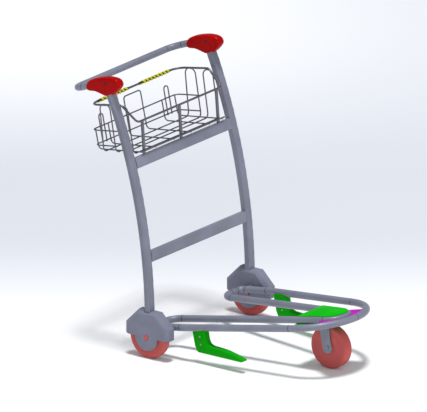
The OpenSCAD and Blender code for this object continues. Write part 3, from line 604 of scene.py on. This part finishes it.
@dataclass
class Knuckle:
    """A red knuckle of two moulded halves round the end of the handle arm.

    Args:
        width: the knuckle's width over both flat faces.
        face: corners of the flat face, in millimetres from the pivot.
        rim: distance from the mid-plane and growth of the outline, from the face to the joint.
        steps: divisions between two corners of the face.
        travel: the handle's travel in degrees.
        lean: the upright's lean at the pivot in degrees.
        slot: depth, width and height of the room for the upright.
        slot_shift: the middle of that room from the pivot.
    """

    width: float = 40 * MM
    face: tuple[tuple[float, float], ...] = (
        (-80, -37), (-50, -35), (-24, -39), (-2, -43), (14, -40), (32, -28), (47, -12), (54, 2),
        (44, 14), (20, 16), (-4, 13), (-38, 4), (-66, -8), (-80, -20))
    rim: tuple[tuple[float, float], ...] = (
        (20.0, 0.0), (19.7, 0.35), (18.6, 0.4), (18.4, 0.7), (17.9, 2.0), (16.9, 3.4), (15.2, 4.9),
        (12.6, 6.3), (9.6, 7.2), (6.0, 7.55), (1.6, 7.6), (1.0, 7.4), (0.5, 6.6), (0.1, 6.5))
    steps: int = 6
    travel: float = 7.0
    lean: float = 24.75
    slot: tuple[float, float, float] = (26.5 * MM, 35 * MM, 100 * MM)
    slot_shift: tuple[float, float, float] = (-4 * MM, 0, -39 * MM)

    def outline(self) -> list[Vector]:
        """The smooth outline of the flat side face, from the pivot, in X and Z."""
        points = [Vector((x, z)) * MM for x, z in self.face]
        count = len(points)
        curve = []
        for i in range(count):
            a, b, c, d = (points[(i + k) % count] for k in (-1, 0, 1, 2))
            for step in range(self.steps):
                t = step / self.steps
                curve.append(0.5 * (2 * b + (c - a) * t + (2 * a - 5 * b + 4 * c - d) * t * t
                                    + (3 * b - a - 3 * c + d) * t ** 3))
        return curve

    def grown(self, curve: list[Vector], by: float) -> list[Vector]:
        """Moves an anticlockwise outline outward.

        Args:
            curve: the outline.
            by: the distance.

        Returns:
            The new outline.
        """
        moved = []
        for i, point in enumerate(curve):
            along = (curve[(i + 1) % len(curve)] - curve[i - 1]).normalized()
            moved.append(point + by * Vector((along.y, -along.x)))
        return moved

    def half(self, name: str, pivot: Vector, facing: int) -> bpy.types.Object:
        """Lofts one half from its flat face to the joint.

        Args:
            name: the piece's name.
            pivot: the knuckle's pivot on its mid-plane.
            facing: 1 or -1, the side that the flat face looks to.

        Returns:
            The half shell.
        """
        curve = self.outline()
        stations = [[pivot + Vector((p.x, facing * reach * MM, p.y))
                     for p in self.grown(curve, grow * MM)] for reach, grow in self.rim]
        return Bench.loft(name, stations)

    def slot_tool(self, pivot: Vector) -> bpy.types.Object:
        """The room that the upright needs through the handle's travel.

        Args:
            pivot: the pivot.

        Returns:
            A convex cutting tool.
        """
        Bench.clear()
        boxes = []
        for turn in (0.0, self.travel):
            bpy.ops.mesh.primitive_cube_add(size=1.0)
            box = bpy.context.object
            spin = Matrix.Rotation(math.radians(turn - self.lean), 4, "Y")
            size = Matrix.Diagonal((*self.slot, 1))
            shift = Matrix.Translation(self.slot_shift)
            box.data.transform(Matrix.Translation(pivot) @ spin @ shift @ size)
            boxes.append(box)
        Bench.clear()
        for box in boxes:
            box.select_set(True)
        bpy.context.view_layer.objects.active = boxes[0]
        bpy.ops.object.join()
        bpy.ops.object.mode_set(mode="EDIT")
        bpy.ops.mesh.select_all(action="SELECT")
        bpy.ops.mesh.convex_hull()
        bpy.ops.object.mode_set(mode="OBJECT")
        return boxes[0]

    def screw(self, name: str, centre: Vector, facing: int) -> bpy.types.Object:
        """A socket screw's head, sunk in the flat face.

        Args:
            name: the piece's name.
            centre: the middle of the head on the face.
            facing: 1 or -1, the side that it looks to.

        Returns:
            The head.
        """
        profile = [(r * MM, rise * MM * facing) for r, rise in
                   ((2.4, -2.0), (2.4, 0.1), (2.9, 0.5), (5.2, 0.6), (6.0, 0.25), (6.2, -1.0),
                    (6.0, -2.0))]
        head = Bench.turned(name, profile, centre, 48)
        Bench.smooth(head, 35.0)
        return head

    def build(self) -> None:
        """Builds both knuckles with their screws."""
        for side, sign in SIDES:
            pivot = centre_of("pivot_pins")
            pivot.y = centre_of("upright_" + side).y
            for part, facing in (("outer", sign), ("inner", -sign)):
                half = self.half(f"knuckle_{part}_{side}", pivot, facing)
                Bench.cut(half, self.slot_tool(pivot))
                Bench.smooth(half, 30.0)
                if part == "outer":
                    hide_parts("knuckle_" + side)
                Bench.dress(half, RED, "handle")
                face = pivot + Vector((0, facing * self.width / 2, 0))
                Bench.dress(self.screw(f"knuckle_screw_{part}_{side}", face, facing), BLACK, "handle")


@dataclass
class Wheel:
    """A wheel: a moulded tyre with round shoulders on a flat-faced core.

    Args:
        name: the start of its pieces' names.
        body: the body that it turns with.
        width: its width over the tyre.
        radius: its outer radius.
        inner: the radius where the tyre meets the core.
    """

    name: str
    body: str
    width: float
    radius: float = 80 * MM
    inner: float = 60 * MM

    def tyre(self, centre: Vector) -> bpy.types.Object:
        """Turns the tyre with two fine mould lines in its tread.

        Args:
            centre: the middle of the wheel.

        Returns:
            The tyre.
        """
        half, r = self.width / 2, self.radius
        right = [(self.inner, half), (r - 6 * MM, half), (r - 5.4 * MM, half - 0.1 * MM),
                 (r - 4.7 * MM, half - 0.6 * MM), (r - 0.8 * MM, half - 4.5 * MM),
                 (r - 0.3 * MM, half - 5.2 * MM), (r - 0.25 * MM, half - 5.9 * MM),
                 (r - 0.8 * MM, half - 6.1 * MM), (r - 0.8 * MM, half - 6.7 * MM),
                 (r - 0.05 * MM, half - 7.0 * MM), (r, half - 8.5 * MM), (r, 1.6 * MM),
                 (r - 0.35 * MM, 1.2 * MM)]
        profile = right + [(a, -b) for a, b in reversed(right)]
        piece = Bench.turned(f"{self.name}_tyre_moulded", profile, centre, 128)
        Bench.smooth(piece, 32.0)
        return piece

    def core(self, centre: Vector) -> bpy.types.Object:
        """Turns the core, with a shallow ring groove and a raised boss.

        Args:
            centre: the middle of the wheel.

        Returns:
            The core.
        """
        half = self.width / 2
        face = half - 0.3 * MM
        right = [(13 * MM, half + 0.4 * MM), (19.5 * MM, half + 0.4 * MM), (21 * MM, half - 0.2 * MM),
                 (23 * MM, face - 0.8 * MM), (25 * MM, face), (50 * MM, face),
                 (51 * MM, face - 0.8 * MM), (53 * MM, face - 0.8 * MM), (54 * MM, face),
                 (self.inner - 0.7 * MM, face), (self.inner, face - 0.7 * MM)]
        profile = right + [(a, -b) for a, b in reversed(right)]
        piece = Bench.turned(f"{self.name}_core_moulded", profile, centre, 96)
        Bench.smooth(piece, 30.0)
        return piece

    def build(self, tyre_node: str, core_node: str) -> None:
        """Builds the wheel in place of its two solids.

        Args:
            tyre_node: the tyre's solid.
            core_node: the core's solid.
        """
        centre = centre_of(tyre_node)
        tyre = self.tyre(centre)
        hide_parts(tyre_node)
        Bench.dress(tyre, TYRE, self.body)
        core = self.core(centre)
        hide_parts(core_node)
        Bench.dress(core, CORE, self.body)


@dataclass
class Sleeves:
    """Spiral sleeves wrapped round the back of the basket's rim.

    Args:
        ribbon: the ribbon's width.
        pitch: the length of one turn.
        thick: half the ribbon's thickness.
        liner: inner and outer radius of the dark liner under the ribbon.
        end_gap: how far the liner stops short of the sleeve at both ends together.
    """

    ribbon: float = 12.0 * MM
    pitch: float = 20.4 * MM
    thick: float = 2.6 * MM
    liner: tuple[float, float] = (4.05 * MM, 4.9 * MM)
    end_gap: float = 2 * MM

    def coil(self, name: str, low: Vector, high: Vector) -> bpy.types.Object:
        """Winds a rounded ribbon into a coil.

        Args:
            name: the piece's name.
            low: the lowest corner of the sleeve.
            high: its highest corner.

        Returns:
            The coil.
        """
        centre = (low + high) / 2
        outer = (high.z - low.z) / 2
        radius = outer - self.thick
        shape = [(math.cos(a * math.pi / 6), math.sin(a * math.pi / 6)) for a in range(12)]
        points = [Vector((radius + self.thick * 0.98 * x, self.ribbon / 2 * y, 0)) for x, y in shape]
        piece = Bench.ring(name, points)
        turns = int((high.y - low.y - self.ribbon) / self.pitch)
        Bench.pick(piece)
        screw = piece.modifiers.new("wind", "SCREW")
        screw.axis = "Y"
        screw.steps = 28
        screw.render_steps = 28
        screw.iterations = turns
        screw.screw_offset = self.pitch
        screw.use_merge_vertices = False
        bpy.ops.object.modifier_apply(modifier=screw.name)
        bpy.ops.object.mode_set(mode="EDIT")
        bpy.ops.mesh.select_all(action="SELECT")
        bpy.ops.mesh.remove_doubles(threshold=WELD)
        bpy.ops.mesh.select_all(action="DESELECT")
        bpy.ops.mesh.select_non_manifold()
        bpy.ops.mesh.edge_face_add()
        bpy.ops.mesh.select_all(action="SELECT")
        bpy.ops.mesh.normals_make_consistent(inside=False)
        bpy.ops.object.mode_set(mode="OBJECT")
        middle = sum((v.co for v in piece.data.vertices), Vector()) / len(piece.data.vertices)
        piece.data.transform(Matrix.Translation(Vector((centre.x, centre.y - middle.y, centre.z))))
        Bench.smooth(piece, 40.0)
        return piece

    def build(self) -> None:
        """Winds both sleeves."""
        for side, _ in SIDES:
            low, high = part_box("sleeve_" + side)
            piece = self.coil(f"sleeve_coil_{side}", low, high)
            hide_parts("sleeve_" + side)
            Bench.dress(piece, YELLOW, "frame")
            near, far = self.liner
            inner = Bench.turned(f"sleeve_liner_{side}",
                                 [(near, -0.5), (near, 0.5), (far, 0.5), (far, -0.5)], Vector(), 24)
            inner.data.transform(Matrix.Translation((low + high) / 2)
                                 @ Matrix.Diagonal((1, high.y - low.y - self.end_gap, 1, 1)))
            Bench.smooth(inner, 40.0)
            Bench.dress(inner, BLACK, "frame")


@dataclass
class Seams:
    """Fine dark rings where the straights of a tube meet its bends.

    Args:
        rise: the base's slope in degrees.
        band: the width of a ring.
        base_d: the base tubes' diameter.
        handle_d: the handle tube's diameter.
        base_z: height of the base's centre line at the rear axle.
        outer_half: distance from the middle to an outer tube at the back.
        inner_half: distance from the middle to an inner tube at the back.
        outer_taper: slope of the tapering outer tube in degrees.
        inner_taper: slope of the inner tube in degrees.
        outer_seams: places of the outer tube's seams: its start, taper and nose.
        taper_x: where the outer tube starts to taper.
        inner_seams: places of the inner tube's seams: its start and nose.
        inner_x: where the inner tube starts.
        cross_x: place of the hairpin's cross tube.
        cross_seams: distances of its seams from the middle.
        bend: length of the handle's bends along the tube.
        slope: the handle arms' slope in degrees.
    """

    rise: float = 8.53
    band: float = 2.0 * MM
    base_d: float = 26 * MM
    handle_d: float = 25 * MM
    base_z: float = 106 * MM
    outer_half: float = 259 * MM
    inner_half: float = 146 * MM
    outer_taper: float = 9.5
    inner_taper: float = 8.8
    outer_seams: tuple[float, float, float] = (10.5 * MM, 104.8 * MM, 543 * MM)
    taper_x: float = 117 * MM
    inner_seams: tuple[float, float] = (31.5 * MM, 600 * MM)
    inner_x: float = 31 * MM
    cross_x: float = -15 * MM
    cross_seams: tuple[float, float] = (200 * MM, 233.5 * MM)
    bend: float = 47 * MM
    slope: float = 20.5

    def ring(self, name: str, centre: Vector, direction: Vector, diameter: float) -> bpy.types.Object:
        """Turns one narrow ring and stands it across a tube.

        Args:
            name: the piece's name.
            centre: the middle of the ring.
            direction: the tube's direction there.
            diameter: the tube's diameter.

        Returns:
            The ring.
        """
        r, b = diameter / 2, self.band / 2
        piece = Bench.turned(name, [(r - 0.3 * MM, -b), (r + 0.05 * MM, -b), (r + 0.16 * MM, 0),
                                    (r + 0.05 * MM, b), (r - 0.3 * MM, b)], Vector(), 48)
        turn = Vector((0, 1, 0)).rotation_difference(direction.normalized()).to_matrix().to_4x4()
        piece.data.transform(Matrix.Translation(centre) @ turn)
        Bench.smooth(piece, 60.0)
        return piece

    def joined(self, name: str, rings: list[bpy.types.Object], body: str) -> None:
        """Joins rings into one piece, keeps it inside the trolley's length and dresses it.

        Args:
            name: the piece's name.
            rings: the rings.
            body: the body that they ride on.
        """
        Bench.clear()
        for ring in rings:
            ring.select_set(True)
        bpy.context.view_layer.objects.active = rings[0]
        bpy.ops.object.join()
        back, front = CAD_BOX[0][0], CAD_BOX[1][0]
        for vertex in rings[0].data.vertices:
            vertex.co.x = min(max(vertex.co.x, back), front)
        rings[0].name = name
        Bench.dress(rings[0], BLACK, body)

    def on_base(self, x: float, y: float, axle_x: float) -> Vector:
        """A point on the centre line's plane, x ahead of the rear axle."""
        return Vector((axle_x + x, y, self.base_z + x * math.tan(math.radians(self.rise))))

    def base_places(self, axle_x: float) -> list[tuple[Vector, Vector]]:
        """Places of the base's seams.

        Args:
            axle_x: the rear axle's place along X.

        Returns:
            The middle and the direction of each ring.
        """
        climb = math.tan(math.radians(self.rise))
        taper = math.tan(math.radians(self.outer_taper))
        inner = math.tan(math.radians(self.inner_taper))
        across = Vector((0, 1, 0))
        start, bend, nose = self.outer_seams
        places = []
        for _, sign in SIDES:
            straight = Vector((1, 0, climb))
            slant = Vector((1, -sign * taper, climb))
            lean = Vector((1, -sign * inner, climb))
            first, last = self.inner_seams
            wide = sign * self.outer_half
            nose_y = sign * (self.outer_half - (nose - self.taper_x) * taper)
            last_y = sign * (self.inner_half - (last - self.inner_x) * inner)
            places += [(self.on_base(start, wide, axle_x), straight),
                       (self.on_base(bend, wide, axle_x), straight),
                       (self.on_base(nose, nose_y, axle_x), slant),
                       (self.on_base(first, sign * self.inner_half, axle_x), lean),
                       (self.on_base(last, last_y, axle_x), lean)]
            places += [(self.on_base(self.cross_x, sign * y, axle_x), across)
                       for y in self.cross_seams]
        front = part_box("base_outer_tube")[1].x - self.base_d / 2
        places.append((Vector((front, 0, self.on_base(front - axle_x, 0, 0).z)), across))
        return places

    def handle_places(self) -> list[tuple[Vector, Vector]]:
        """The middle and the direction of each ring on the handle."""
        low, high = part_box("handle_tube")
        radius, slope = self.handle_d / 2, math.radians(self.slope)
        bar_x, bar_z = low.x + radius, low.z + radius
        arm = Vector((math.cos(slope), 0, math.sin(slope)))
        places = []
        for _, sign in SIDES:
            side = sign * (high.y - radius)
            places += [(Vector((bar_x, side - sign * self.bend, bar_z)), Vector((0, 1, 0))),
                       (Vector((bar_x, side, bar_z)) + self.bend * arm, arm)]
        return places

    def build(self) -> None:
        """Places the rings on the base and the handle."""
        base = self.base_places(centre_of("rear_axles").x)
        self.joined("base_seams", [self.ring(f"seam_{i}", place, along, self.base_d)
                                   for i, (place, along) in enumerate(base)], "frame")
        self.joined("handle_seams", [self.ring(f"grip_{i}", place, along, self.handle_d)
                                     for i, (place, along) in enumerate(self.handle_places())],
                    "handle")


@dataclass
class Studio:
    """Pale floor, soft lights and the camera.

    Args:
        azimuth: the view's turn from straight along Y, in degrees.
        elevation: the view's height in degrees.
        scale: the width of the view in metres.
        distance: how far the camera stands back.
        aim_right: the middle of the view, to the right of the rear axle's foot.
        aim_up: the middle of the view, above it.
        sky_colour: the sky's colour.
        sky_strength: the sky's brightness.
        sun_power: the overhead light's strength.
        sun_size: its apparent width in degrees.
        sun_tilt: its tilt about X and Y in degrees.
    """

    azimuth: float = 37.0
    elevation: float = 18.7
    scale: float = 427 / 277
    distance: float = 6.0
    aim_right: float = 46.9 * MM
    aim_up: float = 467.5 * MM
    sky_colour: tuple[float, float, float] = (0.9, 0.93, 1.0)
    sky_strength: float = 0.34
    sun_power: float = 2.6
    sun_size: float = 10.0
    sun_tilt: tuple[float, float] = (3.0, 4.0)

    def floor(self) -> None:
        """Lays a wide pale floor with painted shade: a darker, bluer band across the middle distance
        from the camera.
        """
        Bench.clear()
        bpy.ops.mesh.primitive_plane_add(size=60.0, location=(0, 0, -0.2 * MM))
        plane = bpy.context.object
        plane.name = "floor"
        graph = Graph("pale_floor")
        a = math.radians(self.azimuth)
        away = graph.node("ShaderNodeSeparateXYZ", {}, {"Vector": graph.turned(a)})
        depth, across = Value(graph, away.outputs[1]), Value(graph, away.outputs[0])
        # Painted shade: darker and bluer from 0.1 m to 1.3 m beyond the middle, away from the camera,
        # and pale again farther off, least so on the right.
        far = depth.fade(1.8, 3.6) * (1.0 - across.fade(-0.6, 0.9) * 0.6)
        band = depth.fade(0.1, 1.3) * (1.0 - far)
        colour = graph.blend(band, (0.93, 0.935, 0.94), (0.65, 0.675, 0.725))
        plane.data.materials.append(graph.finish({"Base Color": colour, "Roughness": 0.75,
                                                  "Specular IOR Level": 0.2}, None, 0.0))

    def lamp(self, name: str, place: tuple[float, float, float], aim: tuple[float, float, float],
             size: float, power: float, colour: tuple[float, float, float]) -> None:
        """Hangs one soft area light.

        Args:
            name: the light's name.
            place: where it hangs.
            aim: where it points.
            size: its width.
            power: its power in watts.
            colour: its colour.
        """
        data = bpy.data.lights.new(name, "AREA")
        data.shape = "DISK"
        data.size = size
        data.energy = power
        data.color = colour
        lamp = bpy.data.objects.new(name, data)
        lamp.location = place
        lamp.rotation_mode = "QUATERNION"
        lamp.rotation_quaternion = (Vector(aim) - Vector(place)).to_track_quat("-Z", "Y")
        bpy.context.scene.collection.objects.link(lamp)

    def camera(self) -> None:
        """Sets a camera without perspective at the viewing angle."""
        a, e = math.radians(self.azimuth), math.radians(self.elevation)
        back = Vector((math.sin(a) * math.cos(e), -math.cos(a) * math.cos(e), math.sin(e)))
        right = Vector((math.cos(a), math.sin(a), 0))
        up = back.cross(right)
        axle = centre_of("rear_axles")
        aim = Vector((axle.x, 0, 0)) + right * self.aim_right + up * self.aim_up
        data = bpy.data.cameras.new("camera")
        data.type = "ORTHO"
        data.ortho_scale = self.scale
        camera = bpy.data.objects.new("camera", data)
        camera.location = aim + back * self.distance
        camera.rotation_mode = "QUATERNION"
        camera.rotation_quaternion = (-back).to_track_quat("-Z", "Y")
        bpy.context.scene.collection.objects.link(camera)
        bpy.context.scene.camera = camera

    def build(self) -> None:
        """Sets the camera, the floor, the sky and the lights."""
        self.camera()
        self.floor()
        sky = bpy.data.worlds.new("sky")
        sky.use_nodes = True
        light = sky.node_tree.nodes["Background"]
        light.inputs["Color"].default_value = (*self.sky_colour, 1.0)
        light.inputs["Strength"].default_value = self.sky_strength
        bpy.context.scene.world = sky
        bpy.context.scene.view_settings.view_transform = "Standard"
        sun = bpy.data.lights.new("overhead", "SUN")
        sun.energy = self.sun_power
        sun.angle = math.radians(self.sun_size)
        overhead = bpy.data.objects.new("overhead", sun)
        overhead.rotation_euler = (*(math.radians(a) for a in self.sun_tilt), 0)
        bpy.context.scene.collection.objects.link(overhead)
        self.lamp("fill", (2.6, -3.6, 2.2), (0, 0, 0.5), 2.4, 32, (1.0, 0.99, 0.97))
        self.lamp("front", (4.2, 1.0, 1.8), (0, 0, 0.5), 2.5, 30, (0.96, 0.98, 1.0))


def main() -> None:
    """Builds the trolley in order."""
    Studio().build()
    CarriedSolids().build()
    SoftenedParts().build()
    Knuckle().build()
    for side, _ in SIDES:
        wheel = Wheel(f"rear_{side}", f"rear_wheel_{side}", REAR_WHEEL_W)
        wheel.build(f"rear_tyre_{side}", f"rear_core_{side}")
    Wheel("front", "front_wheel", FRONT_WHEEL_W).build("front_tyre", "front_core")
    Sleeves().build()
    Seams().build()
    Bench.clear()


if __name__ == "__main__":
    main()
